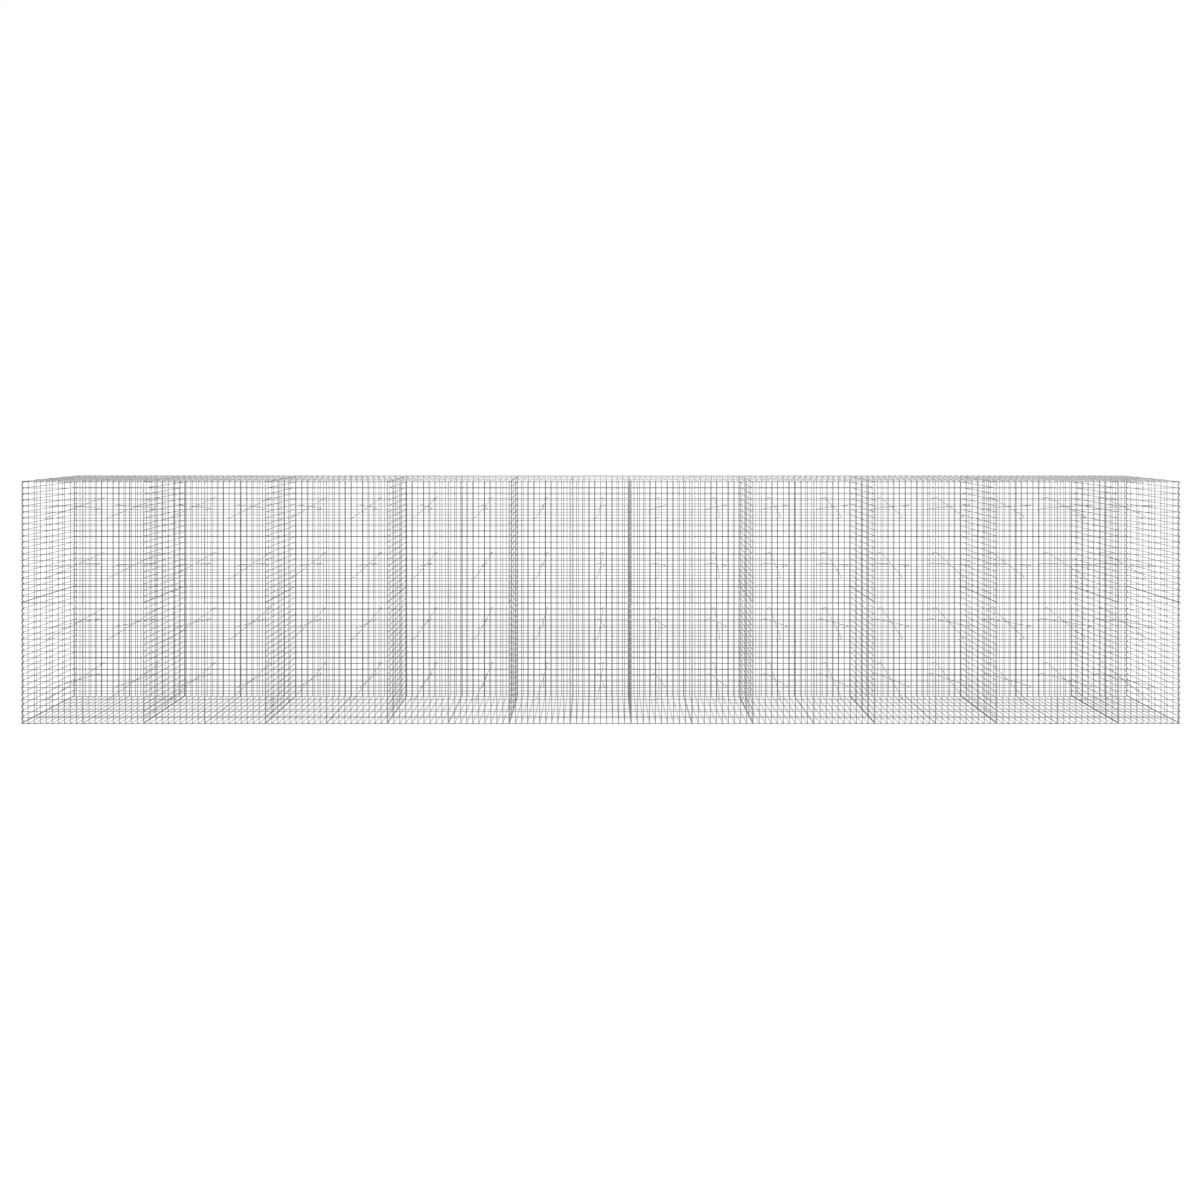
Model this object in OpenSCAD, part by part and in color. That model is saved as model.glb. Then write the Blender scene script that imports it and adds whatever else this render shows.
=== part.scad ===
// Gabion wall: an empty basket of welded wire mesh, 19 half-metre panels long and two panels high.
// The front is at -Y, the floor mesh lies on z = 0 and the origin is at the middle of its underside.

/* [Panels] */
// Number of mesh panels along the wall
panels_long = 19; // [3:1:24]
// Width of a front or rear panel between the centres of its edge wires
panel_w = 500; // [300:50:600]
// Height of a front or rear panel between the centres of its edge wires
panel_h = 1000; // [500:50:1200]
// Depth of the basket between the centres of the cross meshes' edge wires
basket_depth = 1000; // [300:50:1500]

/* [Mesh] */
// Diameter of the mesh wire
wire = 5; // [3:0.5:6]
// Thickness of the mesh where two welded wires cross
mesh_t = 9; // [5:0.5:12]
// Spacing of the bars both ways, except along the uprights of the front and rear
wide_pitch = 250; // [100:50:500]
// Spacing of the level bars of the front and rear
close_pitch = 100; // [50:50:500]
// Length of the wire ends that stand past the wall's first and last edge wires
wire_end = 15; // [5:1:25]

/* [Assembly] */
// Gap between the edge wires of neighbouring panels
seam_gap = 0.3; // [0.3:0.1:0.9]
// Clearance where one mesh rests on another or meets it side on
seat_gap = 0.3; // [0.1:0.1:0.5]
// Distance from the wall's outermost edge wire to the middle of the end mesh
end_inset = 0; // [0:1:30]

/* [Ties] */
// Diameter of the tie wire
tie_d = 5; // [3:0.5:6]
// Height of a panel's lower pair of ties above its bottom wire
low_tie_z = 300; // [100:100:400]
// Height of a panel's upper pair of ties above its bottom wire
high_tie_z = 800; // [500:100:900]
// Distance between the two mesh crossings that a pair of ties joins, along the wall
tie_step_x = 50; // [0:50:100]
// The same distance up the wall
tie_step_z = 100; // [0:50:200]
// Where a tie passes through the mesh, beside its crossing
tie_aside = 30; // [15:5:40]
// Where a tie passes through the mesh, above its crossing
tie_above = 11; // [8:1:30]
// Length of the hook that holds a tie in front of the mesh
hook_len = 42; // [20:1:60]
// Slope of the hook
hook_slope = 25; // [0:5:60]

/* [Hidden] */
panels_high = 2;
panels_per_bay = 2;
bays_per_cover = 2;
bays = ceil(panels_long / panels_per_bay);
covers = ceil(bays / bays_per_cover);
cover_panels = bays_per_cover * panels_per_bay;

// Centre distance of the wires on either side of a seam, and the spacing of whole panels
seam = wire + seam_gap;
step_x = panel_w + seam;
step_z = panel_h + seam;
wall_l = panels_long * step_x - seam;
wall_top = panels_high * step_z - seam_gap;

// The front and rear meshes stand just outside the cross meshes
inner_y = (basket_depth + wire) / 2 + seat_gap;
outer_y = inner_y + mesh_t;

// Cross meshes stand on the floor mesh and end level with the front and rear
cross_z = mesh_t + seat_gap;
cross_h = (wall_top - cross_z - seam_gap) / panels_high - wire;

// The lid lies over the front and rear meshes
lid_z = wall_top + seat_gap;
lid_depth = 2 * outer_y - wire;

// The hooks lie on the outside of the mesh, and the two ties of a pair clear each other by seat_gap
tie_r = tie_d / 2;
tie_y = outer_y + seat_gap + tie_r;
tie_slant = atan2(tie_step_z, tie_step_x);
tie_apart = tie_d / 2 + seat_gap / 2;

steel = [0.66, 0.68, 0.69];
tie_steel = [0.58, 0.6, 0.62];

function two_digits(i) = i < 10 ? str("0", i) : str(i);
function numbered(name, n) = [for (i = [1:n]) str(name, two_digits(i))];
function panel_x(p) = -wall_l / 2 + p * step_x;
function panel_z(r) = wire / 2 + r * step_z;
function cells(size, pitch) = max(1, round(size / pitch));

// Flat mesh with its first crossing at the origin and its thickness along +Z;
// left and right lengthen the bars along X past the edge wires
module mesh(w, h, pitch_w, pitch_h, left = 0, right = 0) {
    nw = cells(w, pitch_w);
    nh = cells(h, pitch_h);
    linear_extrude(mesh_t) {
        for (i = [0:nw])
            translate([i * w / nw - wire / 2, -wire / 2])
                square([wire, h + wire]);
        for (k = [0:nh])
            translate([-wire / 2 - left, k * h / nh - wire / 2])
                square([w + wire + left + right, wire]);
    }
}

// Upright panels of one bay, with their inner or outer face at y
module upright_bay(i, y) {
    first = (i - 1) * panels_per_bay;
    last = min(first + panels_per_bay, panels_long) - 1;
    for (p = [first:last], r = [0:panels_high - 1])
        translate([panel_x(p), y, panel_z(r)])
            rotate([90, 0, 0])
                mesh(panel_w, panel_h, wide_pitch, close_pitch,
                    left = p == 0 ? wire_end : 0,
                    right = p == panels_long - 1 ? wire_end : 0);
}

module front_bay(i) {
    color(steel) upright_bay(i, -inner_y);
}

module rear_bay(i) {
    color(steel) upright_bay(i, outer_y);
}

// Two stacked meshes across the basket, centred on x
module cross_mesh(x) {
    for (r = [0:panels_high - 1])
        translate([x - mesh_t / 2, -basket_depth / 2, cross_z + wire / 2 + r * (cross_h + seam)])
            rotate([90, 0, 90])
                mesh(basket_depth, cross_h, wide_pitch, wide_pitch);
}

module partition(i) {
    color(steel) cross_mesh(panel_x(i * panels_per_bay) - seam / 2);
}

module end_left() {
    color(steel) cross_mesh(-wall_l / 2 + end_inset);
}

module end_right() {
    color(steel) cross_mesh(wall_l / 2 - end_inset);
}

// Level panels over two bays, from z up
module cover(i, z, d) {
    first = (i - 1) * cover_panels;
    last = min(first + cover_panels, panels_long) - 1;
    for (p = [first:last])
        translate([panel_x(p), -d / 2, z])
            mesh(panel_w, d, wide_pitch, wide_pitch);
}

module floor_mesh(i) {
    color(steel) cover(i, 0, basket_depth);
}

module lid(i) {
    color(steel) cover(i, lid_z, lid_depth);
}

// Four-sided bar from a to b
module bar(a, b) {
    run = b - a;
    length = norm(run);
    translate(a)
        rotate([0, acos(run[2] / length), atan2(run[1], run[0])])
            cylinder(h = length, d = tie_d, $fn = 4);
}

// Hook in front of the mesh, down and to the left from its bend
module hook(bend) {
    way = [-cos(hook_slope), 0, -sin(hook_slope)];
    bar(bend - tie_r * way, bend + hook_len * way);
}

// One tie, given how far its front and rear bends are from the pair's upper crossing
module tie(front, rear) {
    front_bend = [front[0], -tie_y, front[1]];
    rear_bend = [rear[0], tie_y, rear[1]];
    bar(front_bend, rear_bend);
    hook(front_bend);
    hook(rear_bend);
}

// Two ties that cross in the middle of the basket, one from the upper crossing of the front
// to the lower one of the rear and one the other way
module tie_pair() {
    upper = [tie_aside, tie_above];
    lower = upper - [tie_step_x, tie_step_z];
    apart = tie_apart * [sin(tie_slant), -cos(tie_slant)];
    tie(upper + apart, lower + apart);
    tie(lower - apart, upper - apart);
}

// One pair at the middle of each panel, rows counted from the floor
module tie_row(i) {
    r = floor((i - 1) / 2);
    tie_z = i % 2 == 1 ? low_tie_z : high_tie_z;
    nh = cells(panel_h, close_pitch);
    crossing = round(tie_z / panel_h * nh) * panel_h / nh;
    color(tie_steel)
        for (p = [0:panels_long - 1])
            translate([panel_x(p) + panel_w / 2, 0, panel_z(r) + crossing])
                tie_pair();
}

for (i = [1:bays])
    front_bay(i);
for (i = [1:bays])
    rear_bay(i);
for (i = [1:bays - 1])
    partition(i);
end_left();
end_right();
for (i = [1:covers])
    floor_mesh(i);
for (i = [1:covers])
    lid(i);
for (i = [1:2 * panels_high])
    tie_row(i);
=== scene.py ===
import math

import bpy
import numpy as np
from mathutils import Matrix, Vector


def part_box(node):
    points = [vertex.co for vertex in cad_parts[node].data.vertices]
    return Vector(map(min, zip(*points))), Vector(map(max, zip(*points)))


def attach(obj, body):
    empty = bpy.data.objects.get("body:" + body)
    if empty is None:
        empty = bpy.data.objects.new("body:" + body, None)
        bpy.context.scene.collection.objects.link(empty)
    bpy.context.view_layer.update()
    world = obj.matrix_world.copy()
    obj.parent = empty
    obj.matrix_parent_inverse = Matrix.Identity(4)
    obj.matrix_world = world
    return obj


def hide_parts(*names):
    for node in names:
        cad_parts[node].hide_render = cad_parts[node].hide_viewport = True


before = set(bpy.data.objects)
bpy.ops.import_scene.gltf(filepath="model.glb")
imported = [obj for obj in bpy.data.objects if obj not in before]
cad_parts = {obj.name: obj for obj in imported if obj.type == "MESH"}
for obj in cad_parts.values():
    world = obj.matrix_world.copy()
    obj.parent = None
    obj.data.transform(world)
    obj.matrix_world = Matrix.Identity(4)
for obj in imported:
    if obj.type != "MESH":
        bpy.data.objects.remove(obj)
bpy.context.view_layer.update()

# Sizes of the real mesh, in metres; places come from the frame
WIRE = 0.005
RADIUS = WIRE / 2
PITCH = 0.05
DEPTH_PITCH = 0.25
PANELS = 19
BAYS = 10
PANELS_PER_BAY = 2
PANELS_PER_COVER = 4
COVERS = 5
SEAM = 0.0053  # between the centres of neighbouring panels' edge wires
UPRIGHT_BOW, LEVEL_BOW = 0.0004, 0.0003  # how far wires stray, as a standard deviation
BEAD_ACROSS, BEAD_DEEP = 0.0025, 0.0013  # half sizes of a weld bead
CUT_END = 0.72  # radius of a wire's cut end, as a share of its own
STRAIGHT_BEVEL, BENT_BEVEL = 0.0012, 0.0010

# Spiral binders at the four corners: radius, wire, and how far they stand in along the wall and out across it
BINDER_R = 0.009
BINDER_WIRE = 0.004
BINDER_IN = 0.0025
BINDER_OUT = 0.0025

# Fineness of the swept meshes
SIDES = 8
BEND_STEPS = 5
STEPS_A_TURN = 12

rng = np.random.default_rng(553)

left_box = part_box("floor_mesh_01")
right_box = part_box("floor_mesh_05")
front_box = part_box("front_bay_02")
rear_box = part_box("rear_bay_02")
FIRST_X = left_box[0].x + RADIUS
LAST_X = right_box[1].x - RADIUS
STEP_X = (LAST_X - FIRST_X + SEAM) / PANELS
PANEL_W = STEP_X - SEAM
ROWS_TOP = front_box[1].z - front_box[0].z
STEP_Z = (ROWS_TOP - WIRE + SEAM) / 2
PANEL_H = STEP_Z - SEAM
WIRE_END = FIRST_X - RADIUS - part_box("front_bay_01")[0].x


# ---------------------------------------------------------------- mesh code
PILLOW = np.array([(x, y, z) for x in (-1, 1) for y in (-1, 1) for z in (-1, 1)], float)
PILLOW_F = [(0, 1, 3, 2), (4, 6, 7, 5), (0, 4, 5, 1), (2, 3, 7, 6), (0, 2, 6, 4), (1, 5, 7, 3)]
TURN = np.arange(SIDES) * 2 * math.pi / SIDES


class Wires:
    """Collects swept wires and weld beads, and makes one mesh object of them."""

    def __init__(self):
        self.verts, self.faces, self.mats, self.count = [], [], [], 0

    def add(self, verts, faces, mat):
        base = self.count
        self.verts.append(verts)
        self.faces += [tuple(base + i for i in f) for f in faces]
        self.mats += [mat] * len(faces)
        self.count += len(verts)

    def rings(self, centres, radii, e1, e2, mat=0):
        """A tube of rings, closed at both ends. e1 and e2 are the rings' own axes."""
        n = len(centres)
        ring = np.cos(TURN)[None, :, None] * e1[:, None, :] + np.sin(TURN)[None, :, None] * e2[:, None, :]
        verts = (centres[:, None, :] + radii[:, None, None] * ring).reshape(-1, 3)
        faces = []
        for r in range(n - 1):
            a, b = r * SIDES, (r + 1) * SIDES
            for i in range(SIDES):
                j = (i + 1) % SIDES
                faces.append((a + i, a + j, b + j, b + i))
        faces.append(tuple(range(SIDES - 1, -1, -1)))
        faces.append(tuple((n - 1) * SIDES + i for i in range(SIDES)))
        self.add(verts, faces, mat)

    def straight(self, a, b, side, bow=0.0, mat=0):
        """A drawn wire from a to b. side is across it, and bow how far its middle strays that way."""
        a, b, side = np.array(a), np.array(b), np.array(side)
        run = b - a
        length = np.linalg.norm(run)
        spans = 4 if length > 0.8 else 2
        bevel = STRAIGHT_BEVEL / length
        t = np.array([0, bevel, *[k / spans for k in range(1, spans)], 1 - bevel, 1])
        radii = np.full(len(t), RADIUS)
        radii[[0, -1]] *= CUT_END
        centres = a + t[:, None] * run + (bow * np.sin(math.pi * t))[:, None] * side
        other = np.cross(run / length, side)
        self.rings(centres, radii, np.tile(side, (len(t), 1)), np.tile(other, (len(t), 1)), mat)

    def bent(self, points, radius, bend):
        """A wire bent at each inner point, with arcs that start bend before the corner."""
        points = [np.array(p, float) for p in points]
        path = [points[0]]
        for before, corner, after in zip(points, points[1:], points[2:]):
            u = (before - corner) / np.linalg.norm(before - corner)
            w = (after - corner) / np.linalg.norm(after - corner)
            start, end = corner + bend * u, corner + bend * w
            for k in range(BEND_STEPS + 1):
                t = k / BEND_STEPS
                path.append((1 - t) ** 2 * start + 2 * t * (1 - t) * corner + t * t * end)
        path.append(points[-1])
        path = np.array(path)
        ends = [path[0] + BENT_BEVEL * (path[1] - path[0]) / np.linalg.norm(path[1] - path[0]),
                path[-1] + BENT_BEVEL * (path[-2] - path[-1]) / np.linalg.norm(path[-2] - path[-1])]
        path = np.vstack([path[:1], ends[:1], path[1:-1], ends[1:], path[-1:]])
        radii = np.full(len(path), radius)
        radii[[0, -1]] *= CUT_END
        along = np.gradient(path, axis=0)
        along /= np.linalg.norm(along, axis=1)[:, None]
        e1 = np.empty_like(path)
        first = np.cross(along[0], (0.3, 0.2, 0.9))
        e1[0] = first / np.linalg.norm(first)
        for i in range(1, len(path)):
            v = e1[i - 1] - np.dot(e1[i - 1], along[i]) * along[i]
            e1[i] = v / np.linalg.norm(v)
        self.rings(path, radii, e1, np.cross(along, e1))

    def spiral(self, x, y, z0, z1, radius, pitch, wire_r):
        """A binder wire wound upwards around the edge wires that meet at x, y."""
        turns = round((z1 - z0) / pitch)
        t = np.linspace(0, 2 * math.pi * turns, turns * STEPS_A_TURN + 1)
        path = np.column_stack([x + radius * np.cos(t), y + radius * np.sin(t), z0 + (z1 - z0) * t / t[-1]])
        along = np.gradient(path, axis=0)
        along /= np.linalg.norm(along, axis=1)[:, None]
        out = np.column_stack([np.cos(t), np.sin(t), np.zeros(len(t))])
        self.rings(path, np.full(len(t), wire_r), out, np.cross(along, out), 1)

    def beads(self, places, u, v, n):
        """Weld beads at places: soft pillows in the corners between two crossing wires, flat along n."""
        size = rng.uniform(0.82, 1.0, (len(places), 1, 1))
        shape = PILLOW[:, 0, None] * np.array(u) * BEAD_ACROSS
        shape = shape + PILLOW[:, 1, None] * np.array(v) * BEAD_ACROSS
        shape = shape + PILLOW[:, 2, None] * np.array(n) * BEAD_DEEP
        verts = (np.array(places)[:, None, :] + size * shape[None]).reshape(-1, 3)
        faces = [tuple(8 * k + i for i in f) for k in range(len(places)) for f in PILLOW_F]
        self.add(verts, faces, 1)

    def panel(self, corner, u, v, n, w, h, nu, nv, thick, v_outside=False, left=0.0, right=0.0, u_mat=0,
              seam_row=None, seam_columns=(), seam_mat=0):
        """Welded mesh. corner is the first crossing on the face away from n. Wires along v lie on
        that face and wires along u on the face towards n, or the other way with v_outside.
        left and right are how far the wires along u stand past the mesh. The wire of seam_row along u
        and those of seam_columns along v have seam_mat."""
        corner, u, v, n = (np.array(x, float) for x in (corner, u, v, n))
        v_at, u_at = (thick - RADIUS, RADIUS) if v_outside else (RADIUS, thick - RADIUS)
        for i in range(nu + 1):
            bow = 0.0 if i in (0, nu) else rng.normal(0, UPRIGHT_BOW)
            a = corner + u * w * i / nu + n * v_at
            mat = seam_mat if i in seam_columns else 0
            self.straight(a - v * RADIUS, a + v * (h + RADIUS), u, bow, mat)
        for k in range(nv + 1):
            bow = 0.0 if k in (0, nv) else rng.normal(0, LEVEL_BOW)
            a = corner + v * h * k / nv + n * u_at
            mat = seam_mat if k == seam_row else u_mat
            self.straight(a - u * (RADIUS + left), a + u * (w + RADIUS + right), v, bow, mat)
        mid = thick / 2
        places = [corner + u * w * i / nu + v * h * k / nv + n * mid
                  for i in range(nu + 1) for k in range(nv + 1)]
        self.beads(places, u, v, n)

    def object(self, name, materials):
        mesh = bpy.data.meshes.new(name)
        mesh.from_pydata(np.vstack(self.verts).tolist(), [], self.faces)
        for m in materials:
            mesh.materials.append(m)
        mesh.polygons.foreach_set("material_index", np.array(self.mats, dtype=np.int32))
        mesh.polygons.foreach_set("use_smooth", np.ones(len(self.faces), dtype=bool))
        mesh.update()
        o = bpy.data.objects.new(name, mesh)
        bpy.context.scene.collection.objects.link(o)
        return o


# ---------------------------------------------------------------- materials
def galvanised(name, dark, base, light, rough, spangle, metallic=0.5, specular=0.2):
    """Weathered zinc, in greys from dark to light: broad patches, crystal spangle a few millimetres wide
    and a fine grain."""
    m = bpy.data.materials.new(name)
    m.use_nodes = True
    nt = m.node_tree
    nodes, links = nt.nodes, nt.links
    shader = nodes["Principled BSDF"]
    shader.inputs["Metallic"].default_value = metallic
    shader.inputs["Specular IOR Level"].default_value = specular
    place = nodes.new("ShaderNodeTexCoord")

    broad = nodes.new("ShaderNodeTexNoise")
    broad.inputs["Scale"].default_value = 9.0
    broad.inputs["Detail"].default_value = 4.0
    links.new(place.outputs["Object"], broad.inputs["Vector"])

    cells = nodes.new("ShaderNodeTexVoronoi")
    cells.inputs["Scale"].default_value = spangle
    links.new(place.outputs["Object"], cells.inputs["Vector"])
    cell_tone = nodes.new("ShaderNodeSeparateColor")
    links.new(cells.outputs["Color"], cell_tone.inputs["Color"])

    tone = nodes.new("ShaderNodeMix")
    tone.data_type = "FLOAT"
    tone.inputs[0].default_value = 0.4
    links.new(broad.outputs["Fac"], tone.inputs[2])
    links.new(cell_tone.outputs[0], tone.inputs[3])

    ramp = nodes.new("ShaderNodeValToRGB")
    ramp.color_ramp.elements[0].position = 0.3
    ramp.color_ramp.elements[0].color = (dark, dark, dark, 1)
    ramp.color_ramp.elements[1].position = 0.72
    ramp.color_ramp.elements[1].color = (light, light, light, 1)
    middle = ramp.color_ramp.elements.new(0.5)
    middle.color = (base, base, base, 1)
    links.new(tone.outputs[0], ramp.inputs["Fac"])
    links.new(ramp.outputs["Color"], shader.inputs["Base Color"])

    gloss = nodes.new("ShaderNodeMapRange")
    gloss.inputs["To Min"].default_value = rough - 0.1
    gloss.inputs["To Max"].default_value = rough + 0.14
    links.new(tone.outputs[0], gloss.inputs["Value"])
    links.new(gloss.outputs["Result"], shader.inputs["Roughness"])

    grain = nodes.new("ShaderNodeTexNoise")
    grain.inputs["Scale"].default_value = 900.0
    grain.inputs["Detail"].default_value = 3.0
    links.new(place.outputs["Object"], grain.inputs["Vector"])
    bump = nodes.new("ShaderNodeBump")
    bump.inputs["Strength"].default_value = 0.25
    bump.inputs["Distance"].default_value = 0.0003
    links.new(grain.outputs["Fac"], bump.inputs["Height"])
    links.new(bump.outputs["Normal"], shader.inputs["Normal"])
    return m


# Painted shade: the uprights and level wires of the front and rear meshes use these two copies of the zinc,
# far darker than the same zinc on the other wires, standing for their shaded camera-facing sides. The level
# wires are a little lighter than the uprights as painted light from above.
upright_zinc_painted_shade = galvanised("upright_zinc_painted_shade", 0.13, 0.19, 0.26, 0.5, 240.0)
level_zinc_painted_shade = galvanised("level_zinc_painted_shade", 0.15, 0.22, 0.30, 0.46, 240.0)
seam_zinc = galvanised("seam_zinc", 0.36, 0.48, 0.60, 0.46, 240.0)
partition_zinc = galvanised("partition_zinc", 0.38, 0.50, 0.62, 0.5, 240.0)
cross_zinc = galvanised("cross_zinc", 0.34, 0.44, 0.54, 0.8, 240.0, metallic=0.0, specular=0.0)
lid_zinc = galvanised("lid_zinc", 0.39, 0.52, 0.65, 0.5, 240.0)
weld_zinc = galvanised("weld_zinc", 0.28, 0.38, 0.5, 0.62, 420.0)
tie_zinc = galvanised("tie_zinc", 0.32, 0.43, 0.54, 0.5, 260.0)

# ---------------------------------------------------------------- meshes
X, Y, Z = (1, 0, 0), (0, 1, 0), (0, 0, 1)
FRONT, DOWN = (0, -1, 0), (0, 0, -1)


def panel_x(p):
    return FIRST_X + p * STEP_X


def stand_for(wires, name, node, materials):
    o = wires.object(name, materials)
    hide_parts(node)
    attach(o, "root")


squares = round(PANEL_W / PITCH)
rows = round(PANEL_H / PITCH)
for i in range(BAYS):
    for side, node_box, n in (("front", front_box, FRONT), ("rear", rear_box, Y)):
        wires = Wires()
        inner = node_box[1].y if side == "front" else node_box[0].y
        thick = node_box[1].y - node_box[0].y
        for p in range(PANELS_PER_BAY * i, min(PANELS_PER_BAY * (i + 1), PANELS)):
            inner_edges = [0] * (p > 0) + [squares] * (p < PANELS - 1)
            for r in range(2):
                corner = (panel_x(p), inner, node_box[0].z + RADIUS + r * STEP_Z)
                wires.panel(corner, X, Z, n, PANEL_W, PANEL_H, squares, rows, thick, v_outside=True,
                            left=WIRE_END if p == 0 else 0.0,
                            right=WIRE_END if p == PANELS - 1 else 0.0, u_mat=2,
                            seam_row=(1 - r) * rows, seam_columns=inner_edges, seam_mat=3)
        # Uprights and level wires here take the two darkened zinc copies, which are painted shade.
        stand_for(wires, f"{side}_mesh_{i + 1:02d}", f"{side}_bay_{i + 1:02d}",
                  [upright_zinc_painted_shade, weld_zinc, level_zinc_painted_shade, seam_zinc])

for node in [f"partition_{i:02d}" for i in range(1, BAYS)] + ["end_left", "end_right"]:
    lo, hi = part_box(node)
    wires = Wires()
    h = (hi.z - lo.z - WIRE - SEAM) / 2
    w = hi.y - lo.y - WIRE
    for r in range(2):
        x, n = (hi.x, (-1, 0, 0)) if node == "end_left" else (lo.x, X)
        corner = (x, lo.y + RADIUS, lo.z + RADIUS + r * (h + SEAM))
        wires.panel(corner, Y, Z, n, w, h, round(w / DEPTH_PITCH), rows, hi.x - lo.x, u_mat=2,
                    seam_row=(1 - r) * rows, seam_mat=3)
    if node.startswith("end"):
        inward = 1 if node == "end_left" else -1
        for y in (lo.y - BINDER_OUT, hi.y + BINDER_OUT):
            wires.spiral((lo.x + hi.x) / 2 + inward * BINDER_IN, y, lo.z + WIRE, hi.z - WIRE,
                         BINDER_R, PITCH, BINDER_WIRE / 2)
    stand_for(wires, f"{node}_mesh", node, [partition_zinc, weld_zinc, cross_zinc, seam_zinc])

for kind in ("floor_mesh", "lid"):
    for i in range(COVERS):
        node = f"{kind}_{i + 1:02d}"
        lo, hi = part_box(node)
        wires = Wires()
        d = hi.y - lo.y - WIRE
        for p in range(PANELS_PER_COVER * i, min(PANELS_PER_COVER * (i + 1), PANELS)):
            # long wires across the basket's depth, and five along the wall over or under them
            corner = (panel_x(p), lo.y + RADIUS, hi.z if kind == "floor_mesh" else lo.z)
            n = DOWN if kind == "floor_mesh" else Z
            wires.panel(corner, X, Y, n, PANEL_W, d, squares, round(d / DEPTH_PITCH), hi.z - lo.z)
        stand_for(wires, f"{kind}_wires_{i + 1:02d}", node, [lid_zinc, weld_zinc])

# ---------------------------------------------------------------- ties
TIE_R = 0.0025
TIE_BEND = 0.006
TIE_GAP = 0.00015  # half the gap between the two wires of a pair where they cross
TIE_ROWS = (6, 16)  # rows of openings below a panel's lower and upper ties
ASIDE, ABOVE = 0.030, 0.011
HOOK, SLOPE = 0.042, math.radians(25)
TURN_IN = 0.014
for i in range(2 * len(TIE_ROWS)):
    node = f"tie_row_{i + 1:02d}"
    lo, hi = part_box(node)
    wires = Wires()
    row_z = front_box[0].z + RADIUS + (i // 2) * STEP_Z + TIE_ROWS[i % 2] * PANEL_H / rows
    y_out, y_rear = lo.y + TIE_R, hi.y - TIE_R
    way = np.array([-math.cos(SLOPE), 0, -math.sin(SLOPE)])
    slant = math.atan2(2 * PITCH, PITCH)
    apart = (TIE_R + TIE_GAP) * np.array([math.sin(slant), 0, -math.cos(slant)])
    for p in range(PANELS):
        upper = np.array([panel_x(p) + PANEL_W / 2 + ASIDE, 0, row_z + ABOVE])
        lower = upper - np.array([PITCH, 0, 2 * PITCH])
        for a, b, off in ((upper, lower, apart), (lower, upper, -apart)):
            front = a + off + np.array([0, y_out, 0])
            rear = b + off + np.array([0, y_rear, 0])
            front_tip, rear_tip = front + HOOK * way, rear + HOOK * way
            wires.bent([front_tip + np.array([0, TURN_IN, 0]), front_tip, front, rear, rear_tip,
                        rear_tip - np.array([0, TURN_IN, 0])], TIE_R, TIE_BEND)
    stand_for(wires, f"tie_wires_{i + 1:02d}", node, [tie_zinc])

# ---------------------------------------------------------------- floor and background, white where seen
def seen_directly(tree):
    """The output that says 1 for camera, glossy and transmission rays, and 0 for all others."""
    rays = tree.nodes.new("ShaderNodeLightPath")
    result = rays.outputs["Is Camera Ray"]
    for kind in ("Is Glossy Ray", "Is Transmission Ray"):
        either = tree.nodes.new("ShaderNodeMath")
        either.operation = "MAXIMUM"
        tree.links.new(result, either.inputs[0])
        tree.links.new(rays.outputs[kind], either.inputs[1])
        result = either.outputs[0]
    return result


floor_mesh = bpy.data.meshes.new("floor")
FLOOR_Z = -0.001
floor_corners = [(-60, -40, FLOOR_Z), (60, -40, FLOOR_Z), (60, 80, FLOOR_Z), (-60, 80, FLOOR_Z)]
floor_mesh.from_pydata(floor_corners, [], [(0, 1, 2, 3)])
floor = bpy.data.objects.new("floor", floor_mesh)
bpy.context.scene.collection.objects.link(floor)
fm = bpy.data.materials.new("floor_white")
fm.use_nodes = True
nt = fm.node_tree
shader = nt.nodes["Principled BSDF"]
shader.inputs["Base Color"].default_value = (0.22, 0.22, 0.22, 1)
shader.inputs["Roughness"].default_value = 0.9
shader.inputs["Specular IOR Level"].default_value = 0.1
glow = nt.nodes.new("ShaderNodeEmission")
glow.inputs["Color"].default_value = (1, 1, 1, 1)
place = nt.nodes.new("ShaderNodeTexCoord")
reach = nt.nodes.new("ShaderNodeVectorMath")
reach.operation = "LENGTH"
nt.links.new(place.outputs["Object"], reach.inputs[0])
fade = nt.nodes.new("ShaderNodeMapRange")
fade.inputs["From Min"].default_value = 3.0
fade.inputs["From Max"].default_value = 9.0
fade.inputs["To Min"].default_value = 0.85
fade.inputs["To Max"].default_value = 1.0
nt.links.new(reach.outputs["Value"], fade.inputs["Value"])
share = nt.nodes.new("ShaderNodeMath")
share.operation = "MULTIPLY"
nt.links.new(fade.outputs["Result"], share.inputs[0])
nt.links.new(seen_directly(nt), share.inputs[1])
nt.links.new(share.outputs[0], glow.inputs["Strength"])
both = nt.nodes.new("ShaderNodeAddShader")
nt.links.new(shader.outputs[0], both.inputs[0])
nt.links.new(glow.outputs[0], both.inputs[1])
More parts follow.
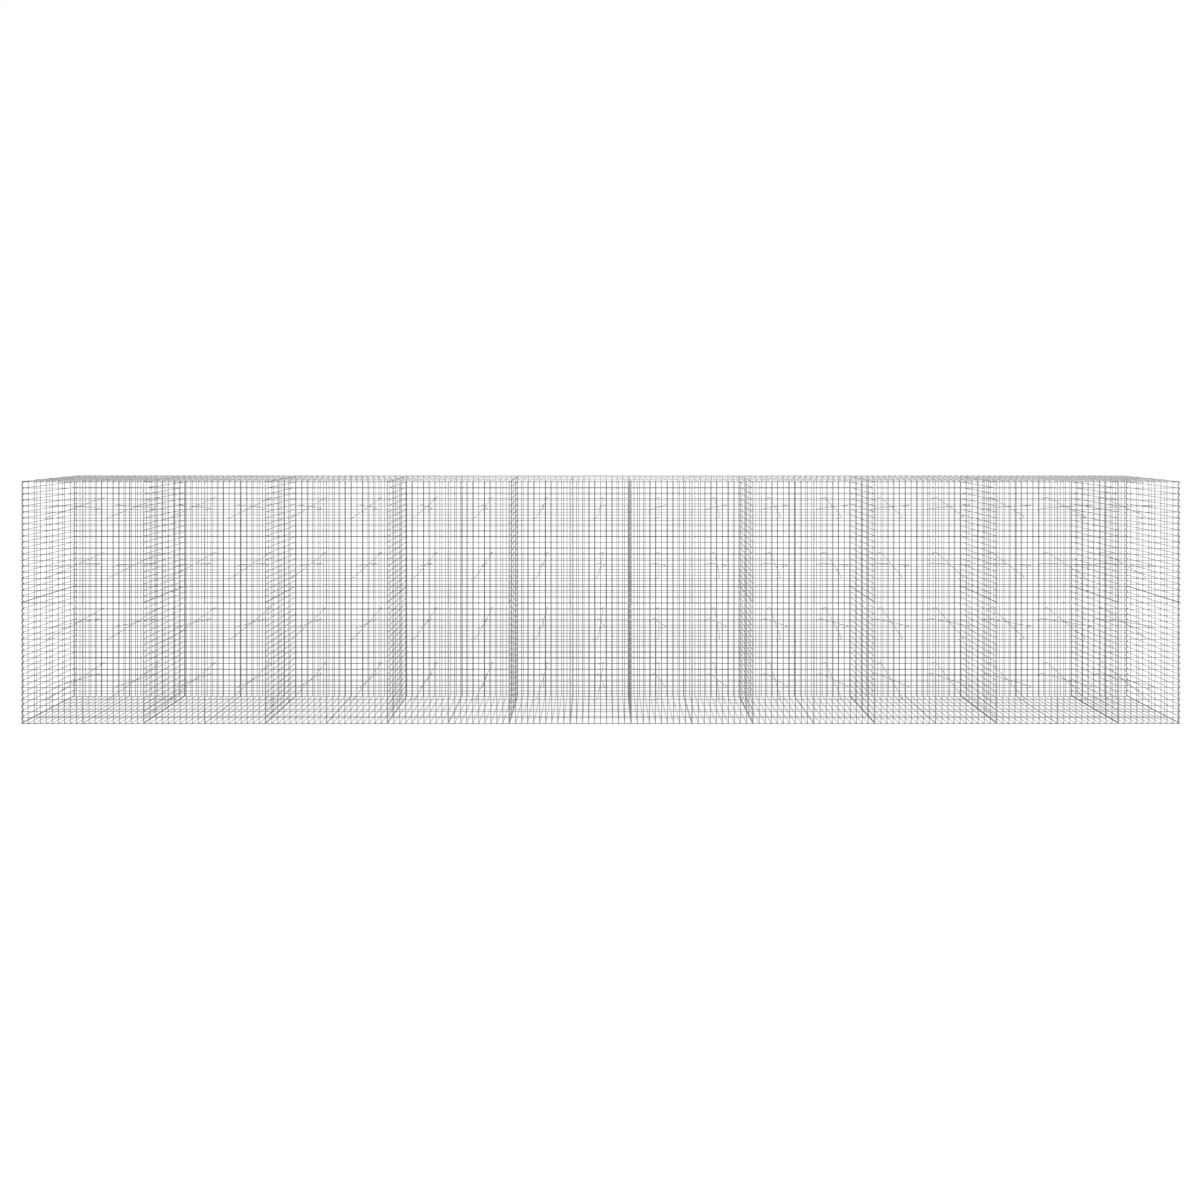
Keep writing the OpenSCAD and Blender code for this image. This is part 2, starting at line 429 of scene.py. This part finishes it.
nt.links.new(both.outputs[0], nt.nodes["Material Output"].inputs["Surface"])
floor_mesh.materials.append(fm)

world = bpy.data.worlds.new("studio")
bpy.context.scene.world = world
world.use_nodes = True
wt = world.node_tree
back = wt.nodes["Background"]
back.inputs["Color"].default_value = (1, 1, 1, 1)
sky = wt.nodes.new("ShaderNodeTexCoord")
height = wt.nodes.new("ShaderNodeSeparateXYZ")
wt.links.new(sky.outputs["Generated"], height.inputs[0])
dome = wt.nodes.new("ShaderNodeMapRange")
dome.inputs["To Min"].default_value = 0.04
dome.inputs["To Max"].default_value = 0.45
wt.links.new(height.outputs["Z"], dome.inputs["Value"])
level = wt.nodes.new("ShaderNodeMix")
level.data_type = "FLOAT"
level.inputs[3].default_value = 1.0
wt.links.new(seen_directly(wt), level.inputs[0])
wt.links.new(dome.outputs["Result"], level.inputs[2])
wt.links.new(level.outputs[0], back.inputs["Strength"])


def area(name, place, aim, size_x, size_y, watts):
    light = bpy.data.lights.new(name, "AREA")
    light.shape = "RECTANGLE"
    light.size, light.size_y, light.energy = size_x, size_y, watts
    o = bpy.data.objects.new(name, light)
    o.location = place
    o.rotation_euler = (Vector(aim) - Vector(place)).to_track_quat("-Z", "Y").to_euler()
    bpy.context.scene.collection.objects.link(o)


area("overhead", (0, 0, 7.5), (0, 0, 0), 16, 5, 330)
area("key", (0, -7, 5.0), (0, 0, 1.0), 14, 2, 250)
area("right", (10, -6, 4.5), (3, 0, 1.0), 3, 3, 360)

# ---------------------------------------------------------------- camera
length = LAST_X - FIRST_X
front_y = (front_box[0].y + front_box[1].y) / 2
cam_data = bpy.data.cameras.new("camera")
cam_data.sensor_width = 36.0
cam_data.lens = 37.01
cam_data.shift_y = -0.1489
cam_data.clip_end = 300
camera = bpy.data.objects.new("camera", cam_data)
camera.location = (-0.005, front_y - 1.0666 * length, 0.2617 * length)
camera.rotation_euler = (math.pi / 2, 0, 0)
bpy.context.scene.collection.objects.link(camera)
bpy.context.scene.camera = camera
bpy.context.scene.view_settings.view_transform = "Standard"
